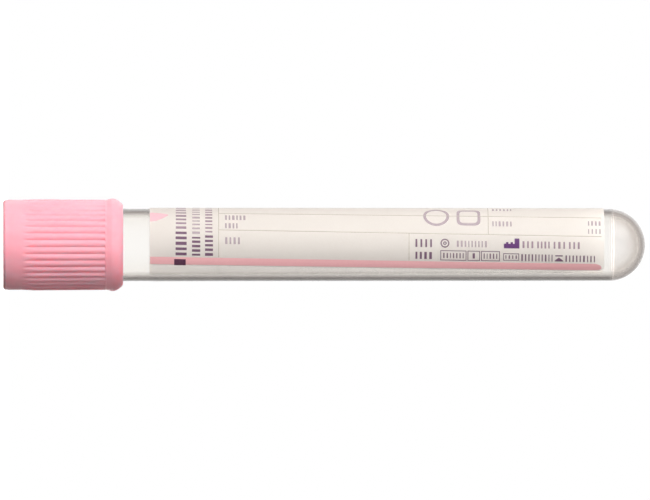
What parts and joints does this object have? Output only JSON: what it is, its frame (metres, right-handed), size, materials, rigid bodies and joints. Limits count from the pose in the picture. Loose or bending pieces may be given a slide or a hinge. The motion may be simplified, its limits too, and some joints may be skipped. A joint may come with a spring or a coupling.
{
  "type": "blood collection tube",
  "caption": "Clear round-bottomed plastic collection tube standing on its pink ribbed closure, which pulls off, with a paper label that has a pink stripe.",
  "frame": {"origin": "middle of the closure's flat top edge, which the tube stands on", "axes": "+Z is the tube's own axis, from the closure up to the round bottom: a tube on its side rolls, so it stands on its head. -Y is the front, where the label's bare strip starts 39.5 degrees to the right"},
  "size_m": [0.0164, 0.0164, 0.1135],
  "materials": {
    "clear_plastic": "clear, glossy, moulded",
    "rubber": "satin pink rubber",
    "shield_plastic": "slightly translucent pink, soft gloss",
    "label_paper": "smooth printed paper"
  },
  "bodies": {
    "closure": {"stopper": "rubber", "safety_shield": "shield_plastic"},
    "barrel": {"tube": "clear_plastic", "label": "label_paper"}
  },
  "joints": [
    {"name": "closure_pull", "type": "slide", "parent": "closure", "child": "barrel", "axis": [0, 0, 1], "range_m": [0, 0.025]}
  ]
}
